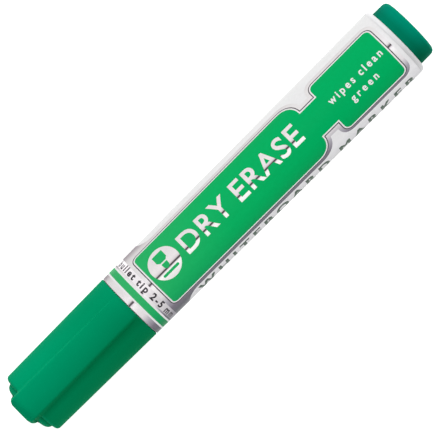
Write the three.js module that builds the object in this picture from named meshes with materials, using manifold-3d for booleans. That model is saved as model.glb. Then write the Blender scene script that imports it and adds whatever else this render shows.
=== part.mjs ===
// Whiteboard marker with a bullet nib, lying on its side with its cap on.
// Millimetres, +Z up. X runs along the marker, from the closed end of the cap (-X) to the tail plug (+X).
// The origin is on the surface the marker lies on, below the middle of its axis.

import * as THREE from 'three';
import { mergeVertices } from 'three/addons/utils/BufferGeometryUtils.js';
import Module from 'manifold-3d';

const wasm = await Module();
wasm.setup();

// ---------- driving dimensions ----------

const LENGTH = 132;               // over the cap's hook and the tail plug
const SEGMENTS = 36;              // facets round every turned piece; one faces straight down

const TAIL_X = LENGTH / 2;
const CAP_HOOK_X = -LENGTH / 2;

// barrel, a moulded tube that widens from its front to its tail
const BARREL_FRONT_X = -29.45;
const BARREL_TAIL_X = 61.3;
const BARREL_FRONT_R = 9.26;      // over the label
const BARREL_TAIL_R = 9.8;
const BARREL_FILLET = 1.06;
const BORE_FRONT_R = 8.05;
const BORE_TAIL_R = 8.5;
const BARREL_RIBS = 6;            // inside, holding the ink reservoir in the middle of the bore
const BARREL_RIB_WIDTH = 1;
const BARREL_RIB_INNER_R = 7;
const BARREL_RIB_OUTER_R = 8.75;
const BARREL_RIB_FRONT_X = -18;
const BARREL_RIB_TAIL_X = 50;

// printed film round the barrel, in a shallow recess
const LABEL_THICKNESS = 0.1;
const LABEL_GAP = 0.03;
const LABEL_TAIL_X = 60;
const LABEL_END_GAP = 0.05;

// tail plug, pressed into the barrel
const PLUG_R = 8.42;
const PLUG_SKIRT_R = 8.35;
const PLUG_INNER_R = 7.2;
const PLUG_SKIRT_X = 50.3;
const PLUG_HEAD_X = 63.6;         // inside face of its head
const PLUG_BEAD_X = 53.8;
const PLUG_BEAD_HALF = 0.4;
const PLUG_FILLET = 1.35;
const PLUG_CROSS_X = 52.3;        // the cross inside it stops the reservoir
const PLUG_CROSS_WIDTH = 1;

// front section, which holds the nib and carries the cap
const NECK_R = 8.25;
const NECK_FRONT_X = -37;
const NECK_BEAD_R = 8.36;
const NECK_BEAD_X = -33;
const NECK_BEAD_HALF = 0.5;
const NECK_GAP = 0.05;            // to the barrel's front edge
const COLLAR_FRONT_X = -42.2;
const COLLAR_REAR_X = -38.2;
const COLLAR_FRONT_R = 6.7;
const COLLAR_REAR_R = 6.9;
const LAND_R = 5.2;               // the cap's seal closes round this land
const LAND_FRONT_X = -46.5;
const NOSE_R = 3.9;
const NOSE_X = -49.5;
const NIB_BORE_R = 2.6;
const CHAMBER_X = -35.6;          // rear of the nib bore, front of the reservoir's chamber
const CHAMBER_R = 6.95;
const SKIRT_R = 7.95;
const SKIRT_REAR_X = -19;

// nib and ink reservoir
const NIB_R = 2.5;
const NIB_TIP_X = -56;
const NIB_REAR_X = -27;
const NIB_TIP_LENGTH = 3.6;
const NIB_TIP_STEPS = 6;
const RESERVOIR_R = 6.6;
const RESERVOIR_FRONT_X = -35;
const RESERVOIR_REAR_X = 52;
const RESERVOIR_HOLE_R = 2.65;
const RESERVOIR_HOLE_X = -26.5;
const WRAP_GAP = 0.05;
const WRAP_THICKNESS = 0.15;
const WRAP_SETBACK = 1;

// cap, a tapering shell with a raised disc on its closed end and a rib that hooks over that end
const CAP_MOUTH_X = -29.6;
const CAP_END_X = -63;
const CAP_DISC_X = -64.45;
const CAP_DISC_R = 7.15;
const CAP_DISC_FILLET = 0.9;
const CAP_MOUTH_R = 9.27;
const CAP_END_R = 8.84;
const CAP_END_FILLET = 0.6;
const CAP_MOUTH_FILLET = 0.35;
const CAP_BORE_MOUTH_R = 8.45;
const CAP_BORE_END_R = 8;
const CAP_FLOOR_X = -61.8;
const CAP_BOSS_INNER_R = 6.4;     // ring inside that holds the seal
const CAP_BOSS_OUTER_R = 7;
const CAP_BOSS_X = -58;

const RIB_WIDTH = 7.9;
const RIB_HEIGHT = 1.9;           // above the shell at the closed end
const RIB_MOUTH_HEIGHT = 0.35;
const RIB_MOUTH_X = -32;          // the rib's top starts to run out here
const RIB_RUNOUT_X = -30.3;
const RIB_END_FILLET = 2.2;
const RIB_CORNER = 0.75;
const RIB_TWIST = THREE.MathUtils.degToRad(2);
const HOOK_LIP = 2.5;             // height of the hook's lower edge above the axis

// soft seal inside the cap
const SEAL_OUTER_R = 6.3;
const SEAL_MOUTH_R = 5.4;
const SEAL_END_R = 5;
const SEAL_END_X = -61.6;
const SEAL_MOUTH_X = -43;
const SEAL_FLOOR = 0.8;

// The lowest facet of the widest ring lies on the surface.
const AXIS_Z = BARREL_TAIL_R * Math.cos(Math.PI / SEGMENTS);

// ---------- materials ----------

function plastic(color, roughness, metalness = 0) {
  return new THREE.MeshStandardMaterial({ color, roughness, metalness });
}

const GREEN = 0x00875c;
const whiteBarrel = plastic(0xeeeeec, 0.45);
const greenPlastic = plastic(GREEN, 0.42);
const labelPrint = plastic(0x12ab66, 0.4, 0.1);
const sectionPlastic = plastic(0xe6e6e2, 0.5);
const nibFibre = plastic(0x0b6b48, 0.9);
const inkFibre = plastic(0x2f8f6a, 0.95);
const clearFilm = plastic(0xdfe8e4, 0.3);
const sealPlastic = plastic(0xe9ece8, 0.6);

// ---------- helpers ----------

// A profile is a closed outline of [x, radius] corners: along +X outside, back along -X inside.
function turned(profile) {
  const points = profile.map(([x, radius]) => new THREE.Vector2(radius, x));
  const geometry = new THREE.LatheGeometry(points, SEGMENTS, Math.PI / SEGMENTS);
  geometry.rotateZ(-Math.PI / 2);
  return geometry;
}

// A turned tube's outline closes on itself.
function closed(profile) {
  return [...profile, profile[0]];
}

// Corners of a quarter-round between two directions, from angle a to angle b in degrees.
// Angle 0 points along +X and 90 points away from the axis.
function arc(x, radius, size, a, b, steps = 3) {
  const corners = [];
  for (let i = 0; i <= steps; i++) {
    const angle = THREE.MathUtils.degToRad(a + ((b - a) * i) / steps);
    corners.push([x + size * Math.cos(angle), radius + size * Math.sin(angle)]);
  }
  return corners;
}

function mix(a, b, x, xa, xb) {
  return THREE.MathUtils.mapLinear(x, xa, xb, a, b);
}

function barrelRadius(x) {
  return mix(BARREL_FRONT_R, BARREL_TAIL_R, x, BARREL_FRONT_X, LABEL_TAIL_X);
}

function capRadius(x) {
  return mix(CAP_END_R, CAP_MOUTH_R, x, CAP_END_X, CAP_MOUTH_X);
}

function toSolid(geometry) {
  const bare = geometry.clone();
  bare.deleteAttribute('normal');
  bare.deleteAttribute('uv');
  const merged = mergeVertices(bare);
  const index = merged.index.array;
  const corners = [];
  for (let i = 0; i < index.length; i += 3) {
    const [a, b, c] = index.slice(i, i + 3);
    if (a !== b && b !== c && c !== a) {
      corners.push(a, b, c);
    }
  }
  return new wasm.Manifold(new wasm.Mesh({
    numProp: 3,
    vertProperties: Float32Array.from(merged.attributes.position.array),
    triVerts: Uint32Array.from(corners),
  }));
}

function fromSolid(solid) {
  const mesh = solid.getMesh();
  const geometry = new THREE.BufferGeometry();
  geometry.setAttribute('position', new THREE.BufferAttribute(mesh.vertProperties, 3));
  geometry.setIndex(new THREE.BufferAttribute(mesh.triVerts, 1));
  geometry.computeVertexNormals();
  return geometry;
}

function box(low, high) {
  const size = high.map((value, i) => value - low[i]);
  const middle = high.map((value, i) => (value + low[i]) / 2);
  const geometry = new THREE.BoxGeometry(...size);
  geometry.translate(...middle);
  return geometry;
}

function part(name, geometry, material) {
  const mesh = new THREE.Mesh(geometry, material);
  mesh.name = name;
  return mesh;
}

// ---------- marker body ----------

function barrelGeometry() {
  const recess = LABEL_THICKNESS + LABEL_GAP;
  const shoulderX = LABEL_TAIL_X + LABEL_END_GAP;
  const tube = toSolid(turned(closed([
    [BARREL_FRONT_X, BORE_FRONT_R],
    [BARREL_FRONT_X, BARREL_FRONT_R - recess],
    [shoulderX, BARREL_TAIL_R - recess],
    [shoulderX, BARREL_TAIL_R],
    ...arc(BARREL_TAIL_X - BARREL_FILLET, BARREL_TAIL_R - BARREL_FILLET, BARREL_FILLET, 90, 0),
    [BARREL_TAIL_X, BORE_TAIL_R],
  ])));
  let solid = tube;
  for (let i = 0; i < BARREL_RIBS; i++) {
    const rib = box(
      [BARREL_RIB_FRONT_X, -BARREL_RIB_WIDTH / 2, BARREL_RIB_INNER_R],
      [BARREL_RIB_TAIL_X, BARREL_RIB_WIDTH / 2, BARREL_RIB_OUTER_R],
    );
    rib.rotateX((i * 2 * Math.PI) / BARREL_RIBS);
    solid = solid.add(toSolid(rib));
  }
  return fromSolid(solid);
}

function labelGeometry() {
  const frontX = BARREL_FRONT_X + LABEL_END_GAP;
  return turned(closed([
    [frontX, barrelRadius(frontX) - LABEL_THICKNESS],
    [frontX, barrelRadius(frontX)],
    [LABEL_TAIL_X, BARREL_TAIL_R],
    [LABEL_TAIL_X, BARREL_TAIL_R - LABEL_THICKNESS],
  ]));
}

function tailPlugGeometry() {
  const shell = toSolid(turned([
    [PLUG_HEAD_X, 0],
    [PLUG_HEAD_X, PLUG_INNER_R],
    [PLUG_SKIRT_X, PLUG_INNER_R],
    [PLUG_SKIRT_X, PLUG_SKIRT_R - PLUG_BEAD_HALF],
    [PLUG_SKIRT_X + PLUG_BEAD_HALF, PLUG_SKIRT_R],
    [PLUG_BEAD_X - PLUG_BEAD_HALF, PLUG_SKIRT_R],
    [PLUG_BEAD_X, PLUG_R],
    [PLUG_BEAD_X + PLUG_BEAD_HALF, PLUG_SKIRT_R],
    [BARREL_TAIL_X - PLUG_FILLET, PLUG_SKIRT_R],
    [BARREL_TAIL_X, PLUG_R],
    ...arc(TAIL_X - PLUG_FILLET, PLUG_R - PLUG_FILLET, PLUG_FILLET, 90, 0),
    [TAIL_X, 0],
  ]));
  const reach = (PLUG_INNER_R + PLUG_SKIRT_R) / 2;
  const crossRearX = (PLUG_HEAD_X + TAIL_X) / 2;
  const upright = box(
    [PLUG_CROSS_X, -PLUG_CROSS_WIDTH / 2, -reach],
    [crossRearX, PLUG_CROSS_WIDTH / 2, reach],
  );
  const level = upright.clone().rotateX(Math.PI / 2);
  return fromSolid(shell.add(toSolid(upright)).add(toSolid(level)));
}

function frontSectionGeometry() {
  return turned(closed([
    [NOSE_X, NIB_BORE_R],
    [NOSE_X, NOSE_R],
    [LAND_FRONT_X, LAND_R],
    [COLLAR_FRONT_X, LAND_R],
    [COLLAR_FRONT_X, COLLAR_FRONT_R],
    [COLLAR_REAR_X, COLLAR_REAR_R],
    [NECK_FRONT_X, NECK_R],
    [NECK_BEAD_X - NECK_BEAD_HALF, NECK_R],
    [NECK_BEAD_X, NECK_BEAD_R],
    [NECK_BEAD_X + NECK_BEAD_HALF, NECK_R],
    [BARREL_FRONT_X - NECK_GAP, NECK_R],
    [BARREL_FRONT_X - NECK_GAP, SKIRT_R],
    [SKIRT_REAR_X, SKIRT_R],
    [SKIRT_REAR_X, CHAMBER_R],
    [CHAMBER_X, CHAMBER_R],
    [CHAMBER_X, NIB_BORE_R],
  ]));
}

function nibGeometry() {
  const tip = [];
  for (let i = 0; i <= NIB_TIP_STEPS; i++) {
    const angle = (i / NIB_TIP_STEPS) * (Math.PI / 2);
    tip.push([
      NIB_TIP_X + NIB_TIP_LENGTH * (1 - Math.cos(angle)),
      NIB_R * Math.sin(angle),
    ]);
  }
  return turned([...tip, [NIB_REAR_X, NIB_R], [NIB_REAR_X, 0]]);
}

function reservoirGeometry() {
  return turned([
    [RESERVOIR_HOLE_X, 0],
    [RESERVOIR_HOLE_X, RESERVOIR_HOLE_R],
    [RESERVOIR_FRONT_X, RESERVOIR_HOLE_R],
    [RESERVOIR_FRONT_X, RESERVOIR_R],
    [RESERVOIR_REAR_X, RESERVOIR_R],
    [RESERVOIR_REAR_X, 0],
  ]);
}

function reservoirFilmGeometry() {
  const innerR = RESERVOIR_R + WRAP_GAP;
  const outerR = innerR + WRAP_THICKNESS;
  const frontX = RESERVOIR_FRONT_X + WRAP_SETBACK;
  const rearX = RESERVOIR_REAR_X - WRAP_SETBACK;
  return turned(closed([
    [frontX, innerR],
    [frontX, outerR],
    [rearX, outerR],
    [rearX, innerR],
  ]));
}

// ---------- cap ----------

function capOuter() {
  return turned([
    [CAP_DISC_X, 0],
    ...arc(CAP_DISC_X + CAP_DISC_FILLET, CAP_DISC_R - CAP_DISC_FILLET, CAP_DISC_FILLET, 180, 90),
    [CAP_END_X, CAP_DISC_R],
    ...arc(CAP_END_X + CAP_END_FILLET, CAP_END_R - CAP_END_FILLET, CAP_END_FILLET, 180, 90),
    ...arc(CAP_MOUTH_X - CAP_MOUTH_FILLET, CAP_MOUTH_R - CAP_MOUTH_FILLET, CAP_MOUTH_FILLET, 90, 0, 2),
    [CAP_MOUTH_X, 0],
  ]);
}

// The rib is as round as the shell, so its top comes from a turned shape. Its sides and its hook come
// from an upright block with two rounded corners.
function capRib() {
  const topFilletX = CAP_HOOK_X + RIB_END_FILLET;
  const topR = capRadius(topFilletX) + RIB_HEIGHT;
  const envelope = turned([
    [CAP_HOOK_X, 0],
    ...arc(topFilletX, topR - RIB_END_FILLET, RIB_END_FILLET, 180, 90, 4),
    [RIB_MOUTH_X, capRadius(RIB_MOUTH_X) + RIB_MOUTH_HEIGHT],
    [RIB_RUNOUT_X, capRadius(RIB_RUNOUT_X)],
    [RIB_RUNOUT_X, 0],
  ]);
  const half = RIB_WIDTH / 2;
  const outline = new THREE.Shape();
  outline.moveTo(RIB_RUNOUT_X, half);
  outline.lineTo(CAP_HOOK_X + RIB_CORNER, half);
  outline.absarc(CAP_HOOK_X + RIB_CORNER, half - RIB_CORNER, RIB_CORNER, Math.PI / 2, Math.PI, false);
  outline.absarc(CAP_HOOK_X + RIB_CORNER, RIB_CORNER - half, RIB_CORNER, Math.PI, 1.5 * Math.PI, false);
  outline.lineTo(RIB_RUNOUT_X, -half);
  const block = new THREE.ExtrudeGeometry(outline, {
    depth: topR + RIB_HEIGHT - HOOK_LIP,
    bevelEnabled: false,
    curveSegments: 3,
  });
  block.translate(0, 0, HOOK_LIP);
  block.rotateX(-RIB_TWIST);
  return toSolid(envelope).intersect(toSolid(block));
}

function capCavity() {
  const beyondMouthX = CAP_MOUTH_X + 1;
  return turned([
    [CAP_FLOOR_X, 0],
    [CAP_FLOOR_X, CAP_BOSS_INNER_R],
    [CAP_BOSS_X, CAP_BOSS_INNER_R],
    [CAP_BOSS_X, CAP_BOSS_OUTER_R],
    [CAP_FLOOR_X, CAP_BOSS_OUTER_R],
    [CAP_FLOOR_X, CAP_BORE_END_R],
    [CAP_MOUTH_X, CAP_BORE_MOUTH_R],
    [beyondMouthX, CAP_BORE_MOUTH_R],
    [beyondMouthX, 0],
  ]);
}

function capShellGeometry() {
  return fromSolid(toSolid(capOuter()).add(capRib()).subtract(toSolid(capCavity())));
}

function capSealGeometry() {
  const floorX = SEAL_END_X + SEAL_FLOOR;
  return turned([
    [SEAL_END_X, 0],
    [SEAL_END_X, SEAL_OUTER_R],
    [SEAL_MOUTH_X, SEAL_OUTER_R],
    [SEAL_MOUTH_X, SEAL_MOUTH_R],
    [floorX, SEAL_END_R],
    [floorX, 0],
  ]);
}

// ---------- assembly ----------

const body = new THREE.Group();
body.add(part('barrel', barrelGeometry(), whiteBarrel));
body.add(part('label_film', labelGeometry(), labelPrint));
body.add(part('tail_plug', tailPlugGeometry(), greenPlastic));
body.add(part('front_section', frontSectionGeometry(), sectionPlastic));
body.add(part('nib', nibGeometry(), nibFibre));
body.add(part('ink_reservoir', reservoirGeometry(), inkFibre));
body.add(part('reservoir_film', reservoirFilmGeometry(), clearFilm));

const cap = new THREE.Group();
cap.add(part('cap_shell', capShellGeometry(), greenPlastic));
cap.add(part('cap_seal', capSealGeometry(), sealPlastic));

const marker = new THREE.Group();
marker.add(body, cap);
marker.position.z = AXIS_Z;

export default marker;
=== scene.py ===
import math

import bmesh
import bpy
from mathutils import Matrix, Vector
from mathutils.geometry import delaunay_2d_cdt


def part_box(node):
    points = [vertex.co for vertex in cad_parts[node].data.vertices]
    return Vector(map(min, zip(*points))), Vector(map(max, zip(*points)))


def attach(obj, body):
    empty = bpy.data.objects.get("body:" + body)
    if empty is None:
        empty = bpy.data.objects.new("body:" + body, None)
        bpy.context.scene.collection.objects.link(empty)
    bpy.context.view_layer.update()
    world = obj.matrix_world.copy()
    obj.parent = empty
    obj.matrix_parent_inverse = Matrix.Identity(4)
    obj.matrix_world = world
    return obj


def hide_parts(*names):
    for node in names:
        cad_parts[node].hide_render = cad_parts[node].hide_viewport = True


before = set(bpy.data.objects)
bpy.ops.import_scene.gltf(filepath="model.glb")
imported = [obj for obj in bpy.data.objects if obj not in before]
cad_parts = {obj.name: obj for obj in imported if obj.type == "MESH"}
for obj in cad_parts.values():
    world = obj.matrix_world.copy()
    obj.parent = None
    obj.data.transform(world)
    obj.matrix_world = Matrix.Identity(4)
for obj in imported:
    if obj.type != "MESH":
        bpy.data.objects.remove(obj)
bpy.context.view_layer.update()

# ---------- the frame's own sizes ----------

MM = 0.001
MARKER = "marker_body"
CAP = "cap"

BARREL_LOW, BARREL_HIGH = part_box("barrel")
LABEL_LOW, LABEL_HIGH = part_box("label_film")
PLUG_LOW, PLUG_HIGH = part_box("tail_plug")
SECTION_LOW, SECTION_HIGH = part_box("front_section")
NIB_LOW, NIB_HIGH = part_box("nib")
RESERVOIR_LOW, RESERVOIR_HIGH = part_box("ink_reservoir")
WRAP_LOW, WRAP_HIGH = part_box("reservoir_film")
CAP_LOW, CAP_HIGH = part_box("cap_shell")
SEAL_LOW, SEAL_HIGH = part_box("cap_seal")

AXIS_Z = (BARREL_LOW.z + BARREL_HIGH.z) / 2
FACETS = 36
INSET = math.cos(math.pi / FACETS)     # a smooth piece touches the middles of the CAD's facets


def radius(value):
    """A CAD radius in millimetres, as the radius of the smooth piece inside its facets."""
    return value * MM * INSET


def between(a, b, share):
    return a + (b - a) * share


FRONT_R = radius(9.26)                 # the barrel's front, and the label's front edge


# ---------- meshes ----------


def clean(mesh):
    """Joins coincident corners, drops faces and edges that have collapsed, and points the faces out."""
    coincident = 2e-7
    work = bmesh.new()
    work.from_mesh(mesh)
    bmesh.ops.remove_doubles(work, verts=work.verts, dist=coincident)
    bmesh.ops.dissolve_degenerate(work, edges=work.edges, dist=coincident)
    bare = [edge for edge in work.edges if not edge.link_faces]
    bmesh.ops.delete(work, geom=bare, context="EDGES")
    bmesh.ops.recalc_face_normals(work, faces=work.faces)
    work.to_mesh(mesh)
    work.free()


def make_object(name, vertices, faces, sharp_angle=35):
    """A closed, smooth-shaded mesh object."""
    mesh = bpy.data.meshes.new(name)
    mesh.from_pydata(vertices, [], faces)
    clean(mesh)
    mesh.shade_smooth()
    mesh.set_sharp_from_angle(angle=math.radians(sharp_angle))
    piece = bpy.data.objects.new(name, mesh)
    bpy.context.scene.collection.objects.link(piece)
    return piece


def rounded(corners, steps=5):
    """A closed outline of points from (first, second, fillet) corners, each fillet an arc of that size."""
    outline = []
    for i, (first, second, fillet) in enumerate(corners):
        here = Vector((first, second))
        if fillet == 0:
            outline.append(here)
            continue
        before = (Vector(corners[i - 1][:2]) - here).normalized()
        after = (Vector(corners[(i + 1) % len(corners)][:2]) - here).normalized()
        half_angle = before.angle(after) / 2
        centre = here + (before + after).normalized() * (fillet / math.sin(half_angle))
        spoke = here + before * (fillet / math.tan(half_angle)) - centre
        sweep = (math.pi - 2 * half_angle) * math.copysign(1, after.cross(before))
        for k in range(steps + 1):
            turn = Matrix.Rotation(sweep * k / steps, 2)
            outline.append(centre + turn @ spoke)
    return outline


def turned(name, corners, segments=96, sharp_angle=35):
    """A turned piece round the marker's axis. Corners are (x, radius, fillet) in metres, and the
    outline closes."""
    outline = rounded(corners)
    count = len(outline)
    vertices = []
    for k in range(segments):
        angle = 2 * math.pi * k / segments
        vertices.extend((p.x, p.y * math.sin(angle), AXIS_Z + p.y * math.cos(angle)) for p in outline)
    faces = []
    for k in range(segments):
        this, following = k * count, ((k + 1) % segments) * count
        for i in range(count):
            j = (i + 1) % count
            faces.append((this + i, this + j, following + j, following + i))
    return make_object(name, vertices, faces, sharp_angle)


def ringed(name, rings):
    """A closed skin through rings round the marker's axis, each (x, its radii). The last joins the first."""
    columns = len(rings[0][1])
    vertices = []
    for x, radii in rings:
        for k, r in enumerate(radii):
            angle = 2 * math.pi * k / columns
            vertices.append((x, r * math.sin(angle), AXIS_Z + r * math.cos(angle)))
    faces = []
    for i in range(len(rings)):
        this, following = i * columns, ((i + 1) % len(rings)) * columns
        for k in range(columns):
            j = (k + 1) % columns
            faces.append((this + k, this + j, following + j, following + k))
    return make_object(name, vertices, faces)


def lofted(name, rings, sharp_angle=35):
    """A closed skin through rings, each (x, right half of an outline from top to bottom as (y, z) points).
    The left half mirrors it, and strips from side to side close the two ends."""
    vertices = []
    half = len(rings[0][1])
    size = 2 * half - 2
    for x, right in rings:
        left = [(-y, z) for y, z in reversed(right[1:-1])]
        vertices.extend((x, y, AXIS_Z + z) for y, z in [*right, *left])
    faces = []
    for k in range(len(rings) - 1):
        this, following = k * size, (k + 1) * size
        for i in range(size):
            j = (i + 1) % size
            faces.append((this + i, this + j, following + j, following + i))
    for start in (0, (len(rings) - 1) * size):
        for i in range(half - 1):
            strip = (i, i + 1, size - i - 1, size - i)
            faces.append(tuple(dict.fromkeys(start + n % size for n in strip)))
    return make_object(name, vertices, faces, sharp_angle)


def add_piece(piece, body, slot, materials, *nodes):
    """Gives a piece its materials and its place in the assembly, instead of the CAD nodes it replaces."""
    for material in materials:
        piece.data.materials.append(material)
    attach(piece, body)
    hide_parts(*nodes)


# ---------- materials ----------


def srgb(red, green, blue):
    """A linear colour from the 0 to 255 values a screen shows."""
    channels = []
    for value in (red, green, blue):
        value = value / 255
        channels.append(value / 12.92 if value <= 0.04045 else ((value + 0.055) / 1.055) ** 2.4)
    return (*channels, 1)


def grey(value):
    """A neutral colour, as a linear value."""
    return (value, value, value, 1)


UNCHANGED = grey(1)                    # what leaves a colour as it is when it is multiplied by this


class Material:
    """A node material: a Principled shader, with helpers for the patterns that drive it."""

    def __init__(self, name, roughness, specular=0.5, tint=None, metallic=0.0):
        self.material = bpy.data.materials.new(name)
        self.material.use_nodes = True
        self.tree = self.material.node_tree
        self.shader = self.tree.nodes["Principled BSDF"]
        self.shader.inputs["Roughness"].default_value = roughness
        self.shader.inputs["Specular IOR Level"].default_value = specular
        self.shader.inputs["Metallic"].default_value = metallic
        if tint:
            self.shader.inputs["Specular Tint"].default_value = (*tint, 1)
        self.coordinates = self.node("ShaderNodeTexCoord").outputs["Object"]

    def node(self, kind, **settings):
        node = self.tree.nodes.new(kind)
        for key, value in settings.items():
            setattr(node, key, value)
        return node

    def link(self, output, target):
        self.tree.links.new(output, target)

    def math(self, operation, first, second=None):
        node = self.node("ShaderNodeMath", operation=operation)
        for socket, value in zip(node.inputs, (first, second)):
            if value is None:
                continue
            if isinstance(value, (int, float)):
                socket.default_value = value
            else:
                self.link(value, socket)
        return node.outputs[0]

    def noise(self, per_mm, stretch=(1, 1, 1), detail=3.0):
        """Noise with about per_mm cells in a millimetre, stretched along the axes."""
        mapping = self.node("ShaderNodeMapping")
        mapping.inputs["Scale"].default_value = [per_mm / MM / s for s in stretch]
        self.link(self.coordinates, mapping.inputs["Vector"])
        noise = self.node("ShaderNodeTexNoise")
        noise.inputs["Scale"].default_value = 1.0
        noise.inputs["Detail"].default_value = detail
        self.link(mapping.outputs["Vector"], noise.inputs["Vector"])
        return noise.outputs["Fac"]

    def ramp(self, factor, stops):
        """A colour ramp; stops are (position, colour)."""
        ramp = self.node("ShaderNodeValToRGB")
        elements = ramp.color_ramp.elements
        while len(elements) < len(stops):
            elements.new(1)
        for element, (position, colour) in zip(elements, stops):
            element.position = position
            element.color = colour
        self.link(factor, ramp.inputs["Fac"])
        return ramp.outputs["Color"]

    def mix(self, factor, first, second, blend="MIX"):
        node = self.node("ShaderNodeMix", data_type="RGBA", blend_type=blend)
        for socket, value in zip((node.inputs[0], node.inputs[6], node.inputs[7]), (factor, first, second)):
            if isinstance(value, (int, float, tuple)):
                socket.default_value = value
            else:
                self.link(value, socket)
        return node.outputs[2]

    def spread(self, value, from_low, from_high, low=0.0, high=1.0):
        """A value carried from one range to another, and held at the ends."""
        spread = self.node("ShaderNodeMapRange")
        spread.inputs["From Min"].default_value = from_low
        spread.inputs["From Max"].default_value = from_high
        spread.inputs["To Min"].default_value = low
        spread.inputs["To Max"].default_value = high
        self.link(value, spread.inputs["Value"])
        return spread.outputs["Result"]

    def component(self, vector, axis):
        separate = self.node("ShaderNodeSeparateXYZ")
        self.link(vector, separate.inputs[0])
        return separate.outputs[axis]

    def colour(self, value):
        self.link(value, self.shader.inputs["Base Color"])

    def rough(self, noise, low, high):
        """Roughness that follows a noise from low to high. Most of a noise lies between 0.3 and 0.7."""
        self.link(self.spread(noise, 0.3, 0.7, low, high), self.shader.inputs["Roughness"])

    def bump(self, height, depth_mm):
        bump = self.node("ShaderNodeBump")
        bump.inputs["Distance"].default_value = depth_mm * MM
        self.link(height, bump.inputs["Height"])
        self.link(bump.outputs["Normal"], self.shader.inputs["Normal"])

    def along(self, start_x, end_x):
        """Place along the marker, as 0 at one x to 1 at the other."""
        place = self.component(self.coordinates, "X")
        return self.math("DIVIDE", self.math("SUBTRACT", place, start_x), end_x - start_x)

    def around(self):
        """Angle round the axis as 0 to 1: 0.5 on top, rising towards -Y."""
        up = self.math("SUBTRACT", self.component(self.coordinates, "Z"), AXIS_Z)
        side = self.math("MULTIPLY", self.component(self.coordinates, "Y"), -1)
        angle = self.math("ARCTAN2", side, up)
        return self.math("ADD", self.math("MULTIPLY", angle, 1 / (2 * math.pi)), 0.5)

    def on_end_faces(self):
        """0 where a face looks away from the axis, rising to 1 where it looks along the marker."""
        normal = self.node("ShaderNodeTexCoord").outputs["Normal"]
        return self.spread(self.math("ABSOLUTE", self.component(normal, "X")), 0.25, 0.75)


# Light and dark run round the marker as bands of painted light and shade. Each list holds (degrees from the
# top, colour), with the degrees rising towards -Y. The silver and white lists are an ink's colour with
# painted reflections or shade, and the other lists multiply a colour with painted shade.
# Silver ink with painted reflections: dark bands on the +Y side and low on the -Y side, a dark line along
# the top and a bright band just below it.
SILVER_INK_AND_REFLECTIONS = [
    (-180, srgb(205, 200, 204)),
    (-120, srgb(225, 222, 224)),
    (-92, srgb(128, 119, 126)),
    (-73, srgb(126, 114, 121)),
    (-60, srgb(192, 187, 188)),
    (-42, srgb(218, 215, 215)),
    (-8, srgb(232, 228, 230)),
    (-4, srgb(216, 212, 214)),
    (-1.3, srgb(60, 46, 54)),
    (0.3, srgb(60, 46, 54)),
    (1.2, srgb(222, 212, 220)),
    (4, srgb(253, 250, 251)),
    (25, srgb(254, 249, 251)),
    (38, srgb(194, 190, 200)),
    (52, srgb(122, 114, 128)),
    (66, srgb(74, 76, 86)),
    (88, srgb(50, 53, 62)),
    (125, srgb(190, 190, 196)),
    (180, srgb(205, 200, 204)),
]
# Pale silver ink with a painted reflection: a dark line along the top, brighter below it.
PALE_SILVER_INK_AND_REFLECTIONS = [
    (-180, srgb(224, 217, 219)),
    (-8, srgb(228, 222, 223)),
    (-3, srgb(216, 208, 211)),
    (-1.9, srgb(52, 40, 46)),
    (0.2, srgb(52, 40, 46)),
    (1.4, srgb(236, 230, 231)),
    (3.5, srgb(254, 253, 251)),
    (180, srgb(250, 248, 246)),
]
# The strip's silver ink with a painted reflection: darker low on the -Y side.
STRIP_INK_AND_REFLECTIONS = [
    (-180, srgb(236, 229, 233)),
    (36, srgb(243, 238, 241)),
    (50, srgb(214, 209, 215)),
    (64, srgb(150, 146, 155)),
    (88, srgb(96, 94, 104)),
    (125, srgb(236, 229, 233)),
    (180, srgb(236, 229, 233)),
]
# White ink with painted shade: darker on the +Y side and low on the -Y side, brightest just below the top.
WHITE_INK_AND_SHADE = [
    (-180, srgb(206, 206, 206)),
    (-90, srgb(203, 203, 203)),
    (-65, srgb(210, 210, 210)),
    (-40, srgb(220, 219, 220)),
    (0, srgb(238, 237, 238)),
    (20, srgb(250, 249, 250)),
    (50, srgb(252, 251, 253)),
    (68, srgb(228, 227, 230)),
    (80, srgb(206, 206, 207)),
    (180, srgb(206, 206, 206)),
]
# Painted shade for the green ink: darker on the +Y side, and darker and less red low on the -Y side.
GREEN_PAINTED_SHADE = [
    (-180, grey(0.85)),
    (-60, grey(0.67)),
    (-30, grey(0.8)),
    (0, grey(0.89)),
    (22, (0.75, 1, 1, 1)),
    (36, (0.5, 0.96, 0.95, 1)),
    (48, (0.25, 0.82, 0.84, 1)),
    (64, (0.15, 0.56, 0.58, 1)),
    (90, (0.15, 0.48, 0.5, 1)),
    (130, grey(0.85)),
    (180, grey(0.85)),
]
# Painted shade for the cap: a dark band in the crease along the rib's -Y flank, from 17.5 to 24 degrees, and
# darker round the sides and back.
CAP_PAINTED_SHADE = [
    (-180, grey(0.86)),
    (-70, grey(0.92)),
    (-35, grey(1)),
    (0, grey(0.94)),
    (14, (0.9, 0.9, 0.88, 1)),
    (17.5, (0.66, 0.66, 0.54, 1)),
    (24, (0.66, 0.66, 0.54, 1)),
    (36, (0.8, 0.8, 0.7, 1)),
    (60, (0.78, 0.78, 0.66, 1)),
    (180, grey(0.86)),
]
# Painted shade for the plug: darker on the +Y side and low on the -Y side.
PLUG_PAINTED_SHADE = [
    (-180, grey(0.86)),
    (-70, (0.74, 0.74, 0.78, 1)),
    (-40, (0.9, 0.9, 0.92, 1)),
    (0, grey(0.94)),
    (15, grey(0.94)),
    (32, (0.84, 0.84, 0.82, 1)),
    (45, (0.7, 0.7, 0.62, 1)),
    (62, (0.58, 0.58, 0.5, 1)),
    (90, (0.8, 0.8, 0.78, 1)),
    (180, grey(0.86)),
]
# Painted shade for the end faces, where the angle lists give way to one even value.
END_PAINTED_SHADE = grey(0.93)

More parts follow.
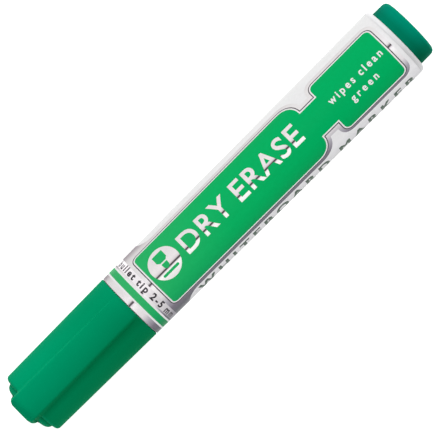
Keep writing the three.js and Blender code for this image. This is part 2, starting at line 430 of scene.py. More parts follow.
# The green plastics are darker at the first x than at the second, by the colour that multiplies them there:
# the cap towards its mouth, and the plug, with painted shade, next to the barrel.
CAP_FADE = (-36 * MM, -58 * MM, (0.92, 0.92, 0.88, 1))
# Painted shade on the plug, darker next to the barrel than at its end.
PLUG_PAINTED_FADE = (BARREL_HIGH.x + 1.5 * MM, PLUG_HIGH.x - 1.5 * MM, (0.77, 0.77, 0.71, 1))


def by_angle(material, bands):
    """A colour that goes by the angle round the axis, from (degrees from the top, colour)."""
    return material.ramp(material.around(), [(degrees / 360 + 0.5, colour) for degrees, colour in bands])


def moulded_plastic(name, dark, light, roughness, specular=0.5, tint=None, painted_shade=None, fade=None):
    """Injection-moulded plastic: faint flow marks along the piece and a fine satin grain.
    With a list of painted shade by angle, the colour is multiplied round the axis, and one even painted
    shade lies on the end faces.
    With fade, as (first x, second x, colour), that colour multiplies it at the first x; on the plug this is
    painted shade."""
    m = Material(name, roughness, specular, tint)
    flow = m.noise(0.12, stretch=(3, 1, 1))
    colour = m.ramp(flow, [(0.3, dark), (0.7, light)])
    if painted_shade:
        # Painted shade by the angle round the axis, and one even painted shade on the end faces.
        depth = m.mix(m.on_end_faces(), by_angle(m, painted_shade), END_PAINTED_SHADE)
        colour = m.mix(1.0, colour, depth, "MULTIPLY")
    if fade:
        # Darker towards the first x; on the plug this is painted shade.
        first_x, second_x, darker_colour = fade
        depth = m.ramp(m.along(first_x, second_x), [(0, darker_colour), (1, UNCHANGED)])
        colour = m.mix(1.0, colour, depth, "MULTIPLY")
    m.colour(colour)
    m.rough(m.noise(0.5, detail=4), roughness - 0.05, roughness + 0.06)
    m.bump(m.noise(3.5, detail=2), 0.004)
    return m.material


def silver_print(name, bands):
    """Silver ink: painted reflections as bands of light and dark round the axis, with fine metal flake."""
    m = Material(name, 0.34, 0.25, metallic=0.1)
    flake = m.ramp(m.noise(6, detail=1), [(0.35, grey(0.94)), (0.65, UNCHANGED)])
    m.colour(m.mix(1.0, by_angle(m, bands), flake, "MULTIPLY"))
    m.rough(m.noise(4, detail=2), 0.3, 0.42)
    return m.material


def green_print(name):
    """Green ink, yellower towards the cap, over the film's slight orange peel, with painted shade round the
    axis.
    """
    m = Material(name, 0.42, 0.05, tint=(0.35, 1, 0.8))
    shade = m.ramp(m.along(LABEL_LOW.x, LABEL_HIGH.x), [
        (0.0, srgb(62, 190, 114)),
        (0.12, srgb(44, 189, 108)),
        (0.35, srgb(14, 188, 104)),
        (0.7, srgb(0, 183, 102)),
    ])
    # painted shade round the axis
    painted_shade = by_angle(m, GREEN_PAINTED_SHADE)
    mottle = m.ramp(m.noise(1.2), [(0.35, (0.95, 0.97, 0.95, 1)), (0.65, UNCHANGED)])
    m.colour(m.mix(1.0, m.mix(1.0, shade, painted_shade, "MULTIPLY"), mottle, "MULTIPLY"))
    m.rough(m.noise(2), 0.36, 0.47)
    m.bump(m.noise(1.5, detail=2), 0.003)
    return m.material


def white_print(name):
    """White ink with painted shade, greyer on the sides of the barrel than on top."""
    m = Material(name, 0.42, 0.25)
    mottle = m.ramp(m.noise(1.5), [(0.35, grey(0.96)), (0.65, UNCHANGED)])
    m.colour(m.mix(1.0, by_angle(m, WHITE_INK_AND_SHADE), mottle, "MULTIPLY"))
    m.rough(m.noise(2), 0.37, 0.47)
    m.bump(m.noise(1.5, detail=2), 0.003)
    return m.material


def plain_print(name, dark, light):
    """One opaque ink on the film."""
    m = Material(name, 0.42, 0.25)
    m.colour(m.ramp(m.noise(1.5), [(0.35, dark), (0.65, light)]))
    m.rough(m.noise(2), 0.37, 0.47)
    m.bump(m.noise(1.5, detail=2), 0.003)
    return m.material


def fibre(name, dark, light):
    """A bundle of fibres running along the marker, wet with ink."""
    m = Material(name, 0.75, 0.3)
    strands = m.noise(7, stretch=(60, 1, 1), detail=2)
    m.colour(m.ramp(strands, [(0.35, dark), (0.65, light)]))
    m.rough(strands, 0.6, 0.9)
    m.bump(strands, 0.06)
    return m.material


def clear_wrap(name):
    """A thin clear film, slightly crinkled."""
    m = Material(name, 0.25)
    m.shader.inputs["Alpha"].default_value = 0.45
    m.colour(m.ramp(m.noise(0.3), [(0.3, srgb(214, 226, 220)), (0.7, srgb(232, 240, 236))]))
    m.bump(m.noise(0.4, stretch=(4, 1, 1)), 0.03)
    return m.material


GREEN_TINT = (0.1, 1, 0.7)
# The green plastics carry painted shade round the axis and along the piece.
green_plastic = moulded_plastic("green_plastic", srgb(0, 144, 99), srgb(0, 149, 103), 0.55, 0.004,
                                GREEN_TINT, CAP_PAINTED_SHADE, CAP_FADE)
plug_plastic = moulded_plastic("plug_plastic", srgb(0, 135, 107), srgb(0, 140, 111), 0.55, 0.004,
                               GREEN_TINT, PLUG_PAINTED_SHADE, PLUG_PAINTED_FADE)
white_plastic = moulded_plastic("white_plastic", srgb(212, 212, 213), srgb(217, 217, 218), 0.45, 0.3)
section_plastic = moulded_plastic("section_plastic", srgb(222, 222, 216), srgb(232, 232, 227), 0.5)
seal_plastic = moulded_plastic("seal_plastic", srgb(214, 220, 212), srgb(226, 231, 224), 0.55)
nib_fibre = fibre("nib_fibre", srgb(0, 74, 44), srgb(0, 112, 72))
reservoir_fibre = fibre("reservoir_fibre", srgb(10, 104, 66), srgb(52, 158, 112))
wrap_film = clear_wrap("wrap_film")

silver_ink = silver_print("silver_ink", SILVER_INK_AND_REFLECTIONS)
pale_silver_ink = silver_print("pale_silver_ink", PALE_SILVER_INK_AND_REFLECTIONS)
white_ink = white_print("white_ink")
green_ink = green_print("green_ink")
outline_ink = plain_print("outline_ink", srgb(56, 50, 54), srgb(74, 66, 72))
strip_ink = silver_print("strip_ink", STRIP_INK_AND_REFLECTIONS)
grey_ink = plain_print("grey_ink", srgb(44, 40, 46), srgb(60, 54, 62))
deep_green_ink = plain_print("deep_green_ink", srgb(0, 56, 26), srgb(0, 66, 31))


# ---------- marker body ----------

BARREL_COLUMNS = 96
BARREL_RIBS = 6
BARREL_RIB_R = radius(7)


def circle(x, r):
    """One of the barrel's rings."""
    return x, [r] * BARREL_COLUMNS


def barrel_bore(x, ribbed):
    """The barrel's bore at x, with or without the ribs that hold the reservoir in the middle."""
    share = (x - BARREL_LOW.x) / (BARREL_HIGH.x - BARREL_LOW.x)
    plain = between(radius(8.05), radius(8.5), share)
    spacing = BARREL_COLUMNS // BARREL_RIBS
    on_rib = (0, 1, spacing - 1)
    return x, [BARREL_RIB_R if ribbed and k % spacing in on_rib else plain for k in range(BARREL_COLUMNS)]


def barrel():
    """A tapering tube with a shallow recess for the label, a rounded shoulder and six ribs in its bore."""
    front_x, tail_x, tail_r = BARREL_LOW.x, BARREL_HIGH.x, BARREL_HIGH.y
    recess = 0.13 * MM
    step_x = LABEL_HIGH.x + 0.05 * MM
    rib_front, rib_tail = -18 * MM, 50 * MM
    rings = [
        barrel_bore(front_x, False),
        circle(front_x, FRONT_R - recess),
        circle(step_x, tail_r - recess),
        circle(step_x, tail_r),
    ]
    fillet, steps = 1.06 * MM, 8
    for i in range(steps + 1):
        angle = math.pi / 2 * i / steps
        x = tail_x - fillet + fillet * math.sin(angle)
        rings.append(circle(x, tail_r - fillet + fillet * math.cos(angle)))
    rings += [
        barrel_bore(tail_x, False),
        barrel_bore(rib_tail, False),
        barrel_bore(rib_tail, True),
        barrel_bore(rib_front, True),
        barrel_bore(rib_front, False),
    ]
    piece = ringed("barrel_tube", rings)
    add_piece(piece, MARKER, "white_plastic", [white_plastic], "barrel")


def tail_plug():
    """The green plug: a rounded head with a moulding gate's dimple, and a skirt with a bead in the bore."""
    end_x, skirt_x = PLUG_HIGH.x, PLUG_LOW.x
    head_r, skirt_r, inner_r = PLUG_HIGH.y, radius(8.35), radius(7.2)
    dimple_r, dimple_depth = 1.3 * MM, 0.25 * MM
    inside_x = end_x - 2.4 * MM
    bead_x, bead_half = 53.8 * MM, 0.4 * MM
    corners = [
        (inside_x, 0, 0),
        (inside_x, inner_r, 0.5 * MM),
        (skirt_x, inner_r, 0.1 * MM),
        (skirt_x, skirt_r, 0.35 * MM),
        (bead_x - bead_half, skirt_r, 0),
        (bead_x, head_r, 0.3 * MM),
        (bead_x + bead_half, skirt_r, 0),
        (BARREL_HIGH.x - 1.35 * MM, skirt_r, 0),
        (BARREL_HIGH.x - 0.6 * MM, head_r, 0),
        (end_x, head_r - 0.05 * MM, 1.35 * MM),
        (end_x, dimple_r + 0.2 * MM, 0.1 * MM),
        (end_x - dimple_depth, dimple_r, 0.1 * MM),
        (end_x - dimple_depth, 0, 0),
    ]
    piece = turned("tail_cap", corners)
    add_piece(piece, MARKER, "green_plastic", [plug_plastic], "tail_plug")


def plug_cross():
    """The cross inside the plug that stops the reservoir, as two crossing plates in one mesh."""
    half, reach = 0.5 * MM, radius(7.2) - 0.02 * MM
    front_x, rear_x = 52.3 * MM, PLUG_HIGH.x - 2.42 * MM
    outline = []
    for quarter in range(4):
        turn = Matrix.Rotation(quarter * math.pi / 2, 2)
        outline += [turn @ Vector(corner) for corner in ((half, half), (half, reach), (-half, reach))]
    count = len(outline)
    vertices = [(x, p.x, AXIS_Z + p.y) for x in (front_x, rear_x) for p in outline]
    faces = [(i, (i + 1) % count, count + (i + 1) % count, count + i) for i in range(count)]
    faces += [tuple(range(count)), tuple(range(count, 2 * count))]
    piece = make_object("tail_cap_cross", vertices, faces)
    add_piece(piece, MARKER, "green_plastic", [plug_plastic], "tail_plug")


def front_section():
    """The nib holder: a nose, the land that the seal closes round, a collar and the neck for the cap."""
    nose_x, skirt_x = SECTION_LOW.x, SECTION_HIGH.x
    land_x, collar_x, shoulder_x = -46.5 * MM, -42.2 * MM, -38.2 * MM
    neck_x, bead_x, bead_half = -37 * MM, -33 * MM, 0.5 * MM
    flange_x, chamber_x = BARREL_LOW.x - 0.05 * MM, -35.6 * MM
    nib_hole_r, nose_r, land_r = radius(2.6), radius(3.9), radius(5.2)
    collar_r, shoulder_r, neck_r = radius(6.7), radius(6.9), radius(8.25)
    skirt_r, chamber_r = radius(7.95), radius(6.95)
    corners = [
        (nose_x, nib_hole_r, 0.1 * MM),
        (nose_x, nose_r, 0.4 * MM),
        (land_x, land_r, 0.6 * MM),
        (collar_x, land_r, 0.25 * MM),
        (collar_x, collar_r, 0.4 * MM),
        (shoulder_x, shoulder_r, 0.3 * MM),
        (neck_x, neck_r, 0.4 * MM),
        (bead_x - bead_half, neck_r, 0.1 * MM),
        (bead_x, SECTION_HIGH.y, 0.25 * MM),
        (bead_x + bead_half, neck_r, 0.1 * MM),
        (flange_x, neck_r, 0.05 * MM),
        (flange_x, skirt_r, 0),
        (skirt_x, skirt_r, 0.3 * MM),
        (skirt_x, chamber_r, 0.1 * MM),
        (chamber_x, chamber_r, 0.3 * MM),
        (chamber_x, nib_hole_r, 0.1 * MM),
    ]
    piece = turned("nib_holder", corners)
    add_piece(piece, MARKER, "section_plastic", [section_plastic], "front_section")


def nib():
    """A bullet nib: a cylinder of fibre with a domed tip."""
    tip_x, rear_x, r = NIB_LOW.x, NIB_HIGH.x, NIB_HIGH.y
    dome, steps = 3.6 * MM, 14
    corners = []
    for i in range(steps + 1):
        angle = math.pi / 2 * i / steps
        corners.append((tip_x + dome * (1 - math.cos(angle)), r * math.sin(angle), 0))
    corners += [(rear_x, r, 0.2 * MM), (rear_x, 0, 0)]
    piece = turned("bullet_nib", corners, segments=64)
    add_piece(piece, MARKER, "nib_fibre", [nib_fibre], "nib")


def reservoir():
    """The fibre bundle, with the hole its front end has for the nib."""
    front_x, rear_x, r = RESERVOIR_LOW.x, RESERVOIR_HIGH.x, RESERVOIR_HIGH.y
    hole_x, hole_r = -26.5 * MM, radius(2.65)
    corners = [
        (hole_x, 0, 0),
        (hole_x, hole_r, 0),
        (front_x, hole_r, 0.15 * MM),
        (front_x, r, 0.4 * MM),
        (rear_x, r, 0.4 * MM),
        (rear_x, 0, 0),
    ]
    piece = turned("ink_fibres", corners, segments=72)
    add_piece(piece, MARKER, "reservoir_fibre", [reservoir_fibre], "ink_reservoir")


def reservoir_wrap():
    """The thin film round the fibre bundle."""
    front_x, rear_x, r = WRAP_LOW.x, WRAP_HIGH.x, WRAP_HIGH.y
    inner_r = r - 0.15 * MM
    corners = [(front_x, inner_r, 0), (front_x, r, 0), (rear_x, r, 0), (rear_x, inner_r, 0)]
    piece = turned("fibre_wrap", corners, segments=72)
    add_piece(piece, MARKER, "clear_film", [wrap_film], "reservoir_film")


# ---------- cap ----------

CAP_END_X = CAP_LOW.x + 3 * MM         # the closed end's face
CAP_DISC_X = CAP_LOW.x + 1.3 * MM      # the raised disc on it
CAP_END_R = radius(8.84)
CAP_MOUTH_R = CAP_HIGH.y
CAP_DISC_R = radius(7.15)
RIB_HALF = 3.62 * MM
RIB_HEIGHT = 1.85 * MM
RIB_MOUTH_HEIGHT = 0.35 * MM
RIB_FADE_X = -32 * MM
RIB_STOP_X = -30.3 * MM
RIB_END_FILLET = 2.6 * MM
RIB_PLAN_CORNER = 1.3 * MM
RIB_EDGE = 0.35 * MM
RIB_ROOT = 0.22 * MM
RIB_LEAN = 0.3                         # how far the rib's flanks lean outwards for each unit of depth
HOOK_LIP = 2.5 * MM
HOOK_LIP_CORNER = 0.6 * MM
CAP_TWIST = math.radians(3.3)

# How many points each stretch of half a section has, from the rib's top round to the bottom.
TOP_POINTS, EDGE_POINTS, FLANK_POINTS, ROOT_POINTS, ROUND_POINTS = 8, 5, 4, 4, 48


def cap_radius(x):
    return between(CAP_END_R, CAP_MOUTH_R, (x - CAP_END_X) / (CAP_HIGH.x - CAP_END_X))


def ribbed_section(round_r, rib_r, half, edge, root):
    """Right half of a round section with a rib on top: rib top, rounded edge, flank, root fillet, round."""
    edge_z = math.sqrt((rib_r - edge) ** 2 - (half - edge) ** 2)
    edge_angle = math.atan2(half - edge, edge_z)
    foot = half + RIB_LEAN * min(rib_r - round_r, RIB_HEIGHT)
    root_z = math.sqrt((round_r + root) ** 2 - (foot + root) ** 2)
    root_angle = math.atan2(foot + root, root_z)
    section = []
    for i in range(TOP_POINTS):
        angle = edge_angle * i / TOP_POINTS
        section.append((rib_r * math.sin(angle), rib_r * math.cos(angle)))
    for i in range(EDGE_POINTS):
        angle = between(edge_angle, math.pi / 2, i / EDGE_POINTS)
        section.append((half - edge + edge * math.sin(angle), edge_z + edge * math.cos(angle)))
    for i in range(FLANK_POINTS):
        section.append((between(half, foot, i / FLANK_POINTS), between(edge_z, root_z, i / FLANK_POINTS)))
    for i in range(ROOT_POINTS):
        angle = between(-math.pi / 2, root_angle - math.pi, i / ROOT_POINTS)
        section.append((foot + root + root * math.sin(angle), root_z + root * math.cos(angle)))
    for i in range(ROUND_POINTS + 1):
        angle = between(root_angle, math.pi, i / ROUND_POINTS)
        section.append((round_r * math.sin(angle), round_r * math.cos(angle)))
    return section


def hook_section(rib_r, half, edge, lip, corner):
    """Right half of the hook, with as many points as a ribbed section. Its flank runs down to the lip."""
    section = ribbed_section(CAP_DISC_R, rib_r, half, edge, RIB_ROOT)[:TOP_POINTS + EDGE_POINTS]
    top_z = math.sqrt((rib_r - edge) ** 2 - (half - edge) ** 2)
    below = ROUND_POINTS // 3
    down = FLANK_POINTS + ROOT_POINTS + below
    foot = half + RIB_LEAN * RIB_HEIGHT
    for i in range(down):
        section.append((between(half, foot, min(1, 2 * i / down)), between(top_z, lip + corner, i / down)))
    arc = 8
    for i in range(arc):
        angle = math.pi / 2 * i / arc
        section.append((foot - corner + corner * math.cos(angle), lip + corner - corner * math.sin(angle)))
    left = ROUND_POINTS + 1 - below - arc
    for i in range(left):
        section.append(((foot - corner) * (1 - i / (left - 1)), lip))
    return section


def round_section(r, angles):
    """A round section with its points at the given angles, so that they line up with a ribbed section's."""
    return [(r * math.sin(angle), r * math.cos(angle)) for angle in angles]


def drop(depth, fillet):
    """How far a rounded edge has fallen away, at a depth from the face it ends in."""
    inward = max(0, fillet - depth)
    return fillet - math.sqrt(fillet ** 2 - inward ** 2)


def rib_height(x):
    """How far the rib stands above the shell, before its end is rounded off."""
    if x > RIB_FADE_X:
        height = between(RIB_MOUTH_HEIGHT, 0, (x - RIB_FADE_X) / (RIB_STOP_X - RIB_FADE_X))
    else:
        height = between(RIB_HEIGHT, RIB_MOUTH_HEIGHT, (x - CAP_END_X) / (RIB_FADE_X - CAP_END_X))
    return max(0, height)


def ribbed_ring(x, round_r):
    """The cap's outside at x: the rib on a round of that radius. Its edges shrink where it runs out."""
    rib_r = cap_radius(x) + rib_height(x) - drop(x - CAP_LOW.x, RIB_END_FILLET)
    proud = max(0, rib_r - round_r)
    edge = min(RIB_EDGE, 0.45 * proud)
    root = min(RIB_ROOT, 0.3 * proud)
    return x, ribbed_section(round_r, rib_r, RIB_HALF, edge, root)


def hook_rings():
    """The hook alone, from its end face to the raised disc."""
    rings = []
    steps = 9
    for i in range(steps + 1):
        depth = (CAP_DISC_X - CAP_LOW.x) * (1 - math.cos(math.pi / 2 * i / steps))
        section = hook_section(
            CAP_END_R + RIB_HEIGHT - drop(depth, RIB_END_FILLET),
            RIB_HALF - drop(depth, RIB_PLAN_CORNER),
            RIB_EDGE,
            HOOK_LIP + drop(depth, HOOK_LIP_CORNER),
            HOOK_LIP_CORNER,
        )
        rings.append((CAP_LOW.x + depth, section))
    return rings


def outside_rings():
    """The raised disc's dome, the rounded closed end, and the shell to where the rib stops."""
    draft, end_fillet = 0.02 * MM, 1.0 * MM
    dome_rise, dome_reach = CAP_END_X - CAP_DISC_X - 4 * draft, 2.1 * MM
    rings = []
    dome_steps, fillet_steps = 8, 6
    for i in range(dome_steps + 1):
        angle = math.pi / 2 * i / dome_steps
        x = CAP_DISC_X + draft + dome_rise * (1 - math.cos(angle))
        rings.append(ribbed_ring(x, CAP_DISC_R - dome_reach * (1 - math.sin(angle))))
    rings.append(ribbed_ring(CAP_END_X - draft, CAP_DISC_R))
    for i in range(fillet_steps + 1):
        angle = math.pi / 2 * i / fillet_steps
        x = CAP_END_X + end_fillet * (1 - math.cos(angle))
        rings.append(ribbed_ring(x, cap_radius(x) - end_fillet * (1 - math.sin(angle))))
    for first_x, last_x, steps in ((CAP_END_X + end_fillet, RIB_FADE_X, 14), (RIB_FADE_X, RIB_STOP_X, 4)):
        for i in range(1, steps + 1):
            x = between(first_x, last_x, i / steps)
            rings.append(ribbed_ring(x, cap_radius(x)))
    return rings


def inside_circles():
    """The rounded mouth, the bore, and the ring on the floor that holds the seal, as (x, radius)."""
    mouth_x, rim, chamfer = CAP_HIGH.x, 0.32 * MM, 0.15 * MM
    bore_mouth, bore_end, floor_fillet = radius(8.45), radius(8), 0.5 * MM
    floor_x, boss_x = -61.8 * MM, -58 * MM
    boss_r, seat_r, root = radius(7), radius(6.4), 0.2 * MM
    circles = []
    rim_steps, bore_steps = 6, 8
    for i in range(rim_steps + 1):
        angle = math.pi / 2 * i / rim_steps
        x = mouth_x - rim * (1 - math.sin(angle))
        circles.append((x, CAP_MOUTH_R - rim * (1 - math.cos(angle))))
    circles += [(mouth_x, bore_mouth + chamfer), (mouth_x - chamfer, bore_mouth)]
    for i in range(1, bore_steps + 1):
        x = between(mouth_x, floor_x + floor_fillet, i / bore_steps)
        circles.append((x, between(bore_mouth, bore_end, i / bore_steps)))
    circles += [
        (floor_x, bore_end - 0.4 * MM),
        (floor_x, boss_r + root),
        (floor_x + root, boss_r),
        (boss_x, boss_r),
        (boss_x, seat_r),
        (floor_x, seat_r),
    ]
    return circles


def cap_shell():
    """The cap as one skin: from the hook's end face, over the outside to the mouth, and back by the bore."""
    rings = hook_rings() + outside_rings()
    angles = [math.atan2(y, z) for y, z in rings[-1][1]]
    rings += [(x, round_section(r, angles)) for x, r in inside_circles()]
    piece = lofted("cap_moulding", rings)
    turn = Matrix.Translation((0, 0, AXIS_Z)) @ Matrix.Rotation(-CAP_TWIST, 4, "X")
    piece.data.transform(turn @ Matrix.Translation((0, 0, -AXIS_Z)))
    add_piece(piece, CAP, "green_plastic", [green_plastic], "cap_shell")


def cap_seal():
    """The soft cup inside the cap that closes round the nib holder."""
    end_x, mouth_x, r = SEAL_LOW.x, SEAL_HIGH.x, SEAL_HIGH.y
    floor_x = end_x + 0.8 * MM
    corners = [
        (end_x, 0, 0),
        (end_x, r, 0.4 * MM),
        (mouth_x, r, 0.35 * MM),
        (mouth_x, radius(5.4), 0.35 * MM),
        (floor_x, radius(5), 1.0 * MM),
        (floor_x, 0, 0),
    ]
    piece = turned("seal_cup", corners)
    add_piece(piece, CAP, "seal_plastic", [seal_plastic], "cap_seal")


# ---------- label ----------

# The label is laid out flat in millimetres: u along the marker, v round it from the top towards +Y.
UNROLL_R = 9.5
HALF_ROUND = math.pi * UNROLL_R
COLUMNS = 120
LABEL_U = (LABEL_LOW.x / MM, LABEL_HIGH.x / MM)
LABEL_THICKNESS = 0.1 * MM

INKS = [silver_ink, white_ink, green_ink, outline_ink, pale_silver_ink, strip_ink, grey_ink, deep_green_ink]
SILVER, WHITE, GREEN, OUTLINE, PALE_SILVER, STRIP, GREY, DEEP_GREEN = range(len(INKS))

PANEL_FRONT, PANEL_SHOULDER, PANEL_HALF = -21.2, 31.8, 8.25
PANEL_FRONT_CORNER, PANEL_SHOULDER_CORNER = 1.2, 4.1
WAIST_HALF = 3.85
BOX_FRONT, BOX_TAIL, BOX_LOW, BOX_HIGH = 37.45, 57.3, -7.6, 7.15
BOX_CORNER = 1.5
BORDER_LOW = -8.9                      # the silver border of the box goes no lower than this
SILVER_BORDER, OUTLINE_BORDER, WHITE_BORDER = 1.65, 0.62, 0.36
SIDE_V = HALF_ROUND / 3                # where the silver border ends and the white sides start
SMALLEST_SHAPE = 1e-4                  # square millimetres; smaller scraps of a letter aren't printed


def block(u_low, u_high, v_low, v_high, front_corner=0.0, tail_corner=0.0):
    """A rectangle with rounded corners, as a list of (u, v)."""
    outline = rounded([
        (u_low, v_low, front_corner),
        (u_high, v_low, tail_corner),
        (u_high, v_high, tail_corner),
        (u_low, v_high, front_corner),
    ], steps=8)
    return [tuple(point) for point in outline]


def panel(ink, grow):
    """The green panel's shape, grown by a border: a long block, a waist and a shorter block."""
    overlap = 2
    half, waist_half, box_low = PANEL_HALF + grow, WAIST_HALF + grow, max(BOX_LOW - grow, BORDER_LOW)
    return [
        (ink, block(PANEL_FRONT - grow, PANEL_SHOULDER + grow, -half, half,
                    PANEL_FRONT_CORNER + grow, PANEL_SHOULDER_CORNER + grow)),
        (ink, block(PANEL_SHOULDER - overlap, BOX_FRONT + overlap, -waist_half, waist_half)),
        (ink, block(BOX_FRONT - grow, BOX_TAIL + grow, box_low, BOX_HIGH + grow,
                    BOX_CORNER + grow, BOX_CORNER + grow)),
    ]


def rings_at_cap():
    """A green band on a wider white one, beside the cap, on the silver."""
    bands = []
    for ink, front, tail in ((WHITE, -27.85, -25.2), (GREEN, -27.4, -25.65)):
        bands.append((ink, block(front, tail, -HALF_ROUND, HALF_ROUND)))
    return bands


def white_sides():
    """The white field behind the panel, whose front corners sweep into the silver border."""
    front, tail = -18.4, LABEL_U[1]
    sweep, steps = 4.2, 8
    areas = []
    for side in (1, -1):
        centre = Vector((front + sweep, side * (SIDE_V + sweep)))
        outline = [(tail, side * HALF_ROUND), (front, side * HALF_ROUND)]
        for i in range(steps + 1):
            angle = math.pi / 2 * i / steps
            outline.append((centre.x - sweep * math.cos(angle), centre.y - side * sweep * math.sin(angle)))
        outline.append((tail, side * SIDE_V))
        areas.append((WHITE, outline))
    areas.append((WHITE, block(0, tail, -SIDE_V, SIDE_V)))
    return areas


def emblem():
    """A round plate with a bullet nib over the line it draws."""
    centre = Vector((-16.15, 1.45))
    plate_r, plate_points = 4.2, 48
    plate = []
    for i in range(plate_points):
        angle = 2 * math.pi * i / plate_points
        plate.append(tuple(centre + plate_r * Vector((math.cos(angle), math.sin(angle)))))
    holder_half, holder_top, holder_slope, holder_foot = 1.55, 3.1, 1.1, 0.55
    tip_half, tip_top, tip_round, tip_steps = 0.85, 0.2, -0.55, 12
    holder = [
        (tip_half, holder_foot),
        (holder_half, holder_slope),
        (holder_half, holder_top),
        (-holder_half, holder_top),
        (-holder_half, holder_slope),
        (-tip_half, holder_foot),
    ]
    tip = [(-tip_half, tip_top)]
    for i in range(tip_steps + 1):
        angle = math.pi * i / tip_steps
        tip.append((-tip_half * math.cos(angle), tip_round - tip_half * math.sin(angle)))
    tip.append((tip_half, tip_top))
    line = block(-2.5, 2.5, -2.75, -2.05, 0.34, 0.34)
    shapes = [(PALE_SILVER, plate)]
    for outline in (holder, tip, line):
        shapes.append((GREEN, [tuple(centre + Vector(point)) for point in outline]))
    return shapes


def letters(body, em, bold, spacing):
    """The filled outlines of a line of text, with its em in millimetres, measured from its own left edge."""
    curve = bpy.data.curves.new("lettering", "FONT")
    curve.body = body
    curve.size = em
    curve.offset = bold
    curve.space_character = spacing
    curve.space_word = 0.6
    curve.resolution_u = 5
    holder = bpy.data.objects.new("lettering", curve)
    bpy.context.scene.collection.objects.link(holder)
    evaluated = holder.evaluated_get(bpy.context.evaluated_depsgraph_get())
    mesh = evaluated.to_mesh()
    places = [vertex.co.copy() for vertex in mesh.vertices]
    left = min(place.x for place in places)
    shapes = []
    for polygon in mesh.polygons:
        shapes.append([(places[i].x - left, places[i].y) for i in polygon.vertices])
    evaluated.to_mesh_clear()
    bpy.data.objects.remove(holder)
    bpy.data.curves.remove(curve)
    return shapes


def width_of(shapes):
    return max(x for shape in shapes for x, _ in shape)


def line_of_text(ink, body, start, width, em, bold, downwards=False):
    """Text from its start (u, v) on the baseline, letter-spaced to a width. Downwards, it reads towards -Y.
    The width grows evenly with the spacing, so the widths at spacings of 1 and 2 give the spacing wanted."""
    single = width_of(letters(body, em, bold, 1))
    double = width_of(letters(body, em, bold, 2))
    spacing = 1 + (width - single) / (double - single)
    placed = []
    for shape in letters(body, em, bold, spacing):
        if downwards:
            placed.append((ink, [(start[0] + y, start[1] - x) for x, y in shape]))
        else:
            placed.append((ink, [(start[0] + x, start[1] + y) for x, y in shape]))
    return placed


def side_text():
    """The line along the white side, printed four times with small shifts, which thickens its strokes."""
    start_u, start_v, along, across = -14.5, -14.2, 0.2, 0.13
    shapes = []
    for down in (-1, 1):
        for back in (-1, 1):
            start = (start_u + back * along, start_v + down * across)
            shapes += line_of_text(DEEP_GREEN, "WHITEBOARD MARKER", start, 72.3, 4.9, 0)
    return shapes


def artwork():
    """Everything printed on the label, in the order that it is printed, as (ink, outline)."""
    u_low, u_high = LABEL_U
    return [
        (SILVER, block(u_low, u_high, -HALF_ROUND, HALF_ROUND)),
        *white_sides(),
        *rings_at_cap(),
        *panel(SILVER, SILVER_BORDER),
        *panel(OUTLINE, OUTLINE_BORDER),
        *panel(WHITE, WHITE_BORDER),
        *panel(GREEN, 0),
        *emblem(),
        *line_of_text(PALE_SILVER, "DRY ERASE", (-10.4, -1.3), 39.1, 7.5, 0.12),
        *line_of_text(WHITE, "wipes clean", (38.6, -0.14), 17.4, 2.55, 0.065),
        *line_of_text(WHITE, "green", (43.0, -3.41), 8.6, 2.55, 0.065),
        (STRIP, block(-24.75, -22.75, -HALF_ROUND, HALF_ROUND)),
        *line_of_text(GREY, "bullet tip 2-5 mm", (-24.55, 12.0), 23.6, 2.5, 0.09, downwards=True),
        *side_text(),
    ]


def area(outline):
    """The outline's area, positive where the outline runs anticlockwise."""
    return sum(Vector(a).cross(Vector(b)) for a, b in zip(outline, outline[1:] + outline[:1])) / 2


def label_radius(u):
    """The label's outer radius, which grows from its front to its tail."""
    share = (u - LABEL_U[0]) / (LABEL_U[1] - LABEL_U[0])
    return between(FRONT_R, LABEL_HIGH.y, share)


def on_label(u, v, depth=0.0):
    """A flat point of the layout, rolled onto the barrel."""
    angle = v / UNROLL_R
    r = label_radius(u) - depth
    return u * MM, r * math.sin(angle), AXIS_Z + r * math.cos(angle)


def printed_surface(column_v):
    """The film's outside, divided along the edges of the print and at the columns, so that every ink has
    its own faces. Gives the vertices, the faces and each face's ink, which is the last one printed there."""
    shapes = [(ink, outline) for ink, outline in artwork() if abs(area(outline)) > SMALLEST_SHAPE]
    points, outlines, edges = [], [], []
    for _, outline in shapes:
        if area(outline) < 0:
            outline = outline[::-1]
        outlines.append(list(range(len(points), len(points) + len(outline))))
        points.extend(Vector(point) for point in outline)
    for v in column_v:
        edges.append((len(points), len(points) + 1))
        points.extend(Vector((u, v)) for u in LABEL_U)
    flat, _, triangles, _, _, sources = delaunay_2d_cdt(points, edges, outlines, 0, 1e-6, True)
    vertices = [on_label(*point) for point in flat]
    faces = [tuple(triangle) for triangle in triangles]
    inks = [shapes[max(source)][0] for source in sources]
    return vertices, faces, inks


def label():
    """The printed film: its printed outside, and a plain white inside and rims that close it."""
    column_v = [between(-HALF_ROUND, HALF_ROUND, k / COLUMNS) for k in range(COLUMNS + 1)]
    vertices, faces, inks = printed_surface(column_v)
    front, tail = LABEL_U
    corners = ((front, 0), (tail, 0), (tail, LABEL_THICKNESS), (front, LABEL_THICKNESS))
    for k in range(COLUMNS):
        rims = [[on_label(u, v, depth) for v in column_v[k:k + 2]] for u, depth in corners]
        for first, second in ((1, 2), (2, 3), (3, 0)):
            start = len(vertices)
            vertices += [*rims[first], *reversed(rims[second])]
            faces.append(tuple(range(start, start + 4)))
            inks.append(WHITE)
    piece = make_label_object(vertices, faces, inks)
    add_piece(piece, MARKER, "label_print", INKS, "label_film")


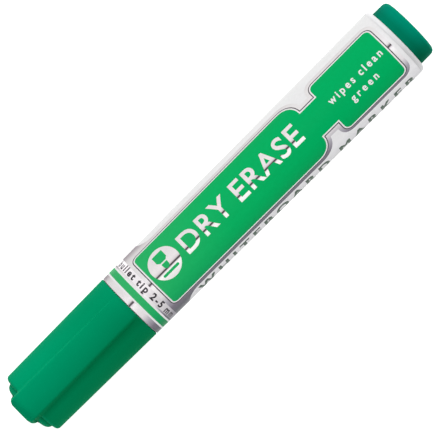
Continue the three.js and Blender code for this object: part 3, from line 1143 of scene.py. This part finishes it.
def make_label_object(vertices, faces, inks):
    """The film's mesh, with each face's ink. Normals point straight away from the axis or towards it,
    except on the rims, which face along the marker."""
    mesh = bpy.data.meshes.new("printed_label")
    mesh.from_pydata(vertices, [], faces)
    for polygon in mesh.polygons:
        polygon.material_index = inks[polygon.index]
    clean(mesh)
    mesh.shade_smooth()
    normals = []
    for polygon in mesh.polygons:
        for index in polygon.vertices:
            place = mesh.vertices[index].co
            away = Vector((0, place.y, place.z - AXIS_Z)).normalized()
            facing = polygon.normal.dot(away)
            on_rim = abs(facing) < 0.7
            normals.append(polygon.normal.copy() if on_rim else away * math.copysign(1, facing))
    mesh.normals_split_custom_set(normals)
    piece = bpy.data.objects.new("printed_label", mesh)
    bpy.context.scene.collection.objects.link(piece)
    return piece


# ---------- stage ----------


def camera():
    """Straight down from far away, turned so that the marker runs from lower left to upper right."""
    data = bpy.data.cameras.new("camera")
    data.lens = 315.8
    data.sensor_width = 36
    data.clip_end = 10
    holder = bpy.data.objects.new("camera", data)
    holder.location = (0.47 * MM, -0.67 * MM, AXIS_Z + 0.93)
    holder.rotation_euler = (0, 0, math.radians(-45))
    bpy.context.scene.collection.objects.link(holder)
    bpy.context.scene.camera = holder


def softbox(name, place, size, power):
    """A square area light that looks at the marker's middle."""
    data = bpy.data.lights.new(name, "AREA")
    data.shape = "SQUARE"
    data.size = size
    data.energy = power
    holder = bpy.data.objects.new(name, data)
    holder.location = place
    holder.rotation_euler = (Vector((0, 0, AXIS_Z)) - Vector(place)).to_track_quat("-Z", "Y").to_euler()
    bpy.context.scene.collection.objects.link(holder)


def studio():
    """White surroundings, and two soft lights above the marker, towards the top of the photo's view."""
    scene = bpy.context.scene
    world = bpy.data.worlds.new("studio")
    world.use_nodes = True
    background = world.node_tree.nodes["Background"]
    background.inputs["Color"].default_value = (1, 1, 1, 1)
    background.inputs["Strength"].default_value = 0.4
    scene.world = world
    scene.view_settings.view_transform = "Standard"
    softbox("key", (0.66, 0.83, 0.56), 0.9, 7)
    softbox("high", (0.12, 0.15, 1.2), 0.9, 6)


def floor():
    """A plain pale floor that glows a little, so that it stays white out to its edges."""
    mesh = bpy.data.meshes.new("floor")
    reach = 3.0
    corners = [(-reach, -reach, 0), (reach, -reach, 0), (reach, reach, 0), (-reach, reach, 0)]
    mesh.from_pydata(corners, [], [(0, 1, 2, 3)])
    piece = bpy.data.objects.new("floor", mesh)
    bpy.context.scene.collection.objects.link(piece)
    paper = Material("floor_paper", 0.9, 0.1)
    paper.shader.inputs["Base Color"].default_value = grey(0.75)
    paper.shader.inputs["Emission Color"].default_value = (1, 1, 1, 1)
    paper.shader.inputs["Emission Strength"].default_value = 0.75
    mesh.materials.append(paper.material)


camera()
studio()
floor()
barrel()
label()
tail_plug()
plug_cross()
front_section()
nib()
reservoir()
reservoir_wrap()
cap_shell()
cap_seal()
